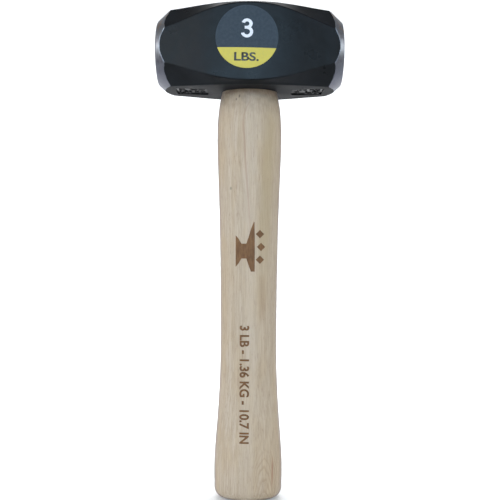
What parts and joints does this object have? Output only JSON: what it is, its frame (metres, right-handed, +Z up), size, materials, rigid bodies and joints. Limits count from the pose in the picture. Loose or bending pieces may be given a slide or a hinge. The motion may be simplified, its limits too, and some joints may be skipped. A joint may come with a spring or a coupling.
{
  "type": "sledgehammer",
  "caption": "Short sledgehammer for one hand, with a black octagonal steel head, ground striking faces and an oval hickory handle.",
  "frame": {"origin": "middle of the flat on the butt of the handle", "axes": "+Z up the handle to the head, X along the head, -Y towards the labelled front cheek"},
  "size_m": [0.1036, 0.0514, 0.2721],
  "materials": {
    "lacquered_steel": "satin black lacquer over a forged surface, ground bright at the bevels and striking faces",
    "hickory": "pale straight-grained hickory, sanded, thin clear coat, burnt marks on the front",
    "wedge_wood": "plain hardwood, end grain up",
    "wedge_steel": "dull mild steel",
    "label_vinyl": "printed vinyl, slate grey with a yellow lower segment"
  },
  "bodies": {
    "root": {"head": "lacquered_steel", "handle": "hickory", "wooden_wedge": "wedge_wood", "steel_wedge_left": "wedge_steel", "steel_wedge_right": "wedge_steel", "weight_label": "label_vinyl"}
  },
  "joints": []
}
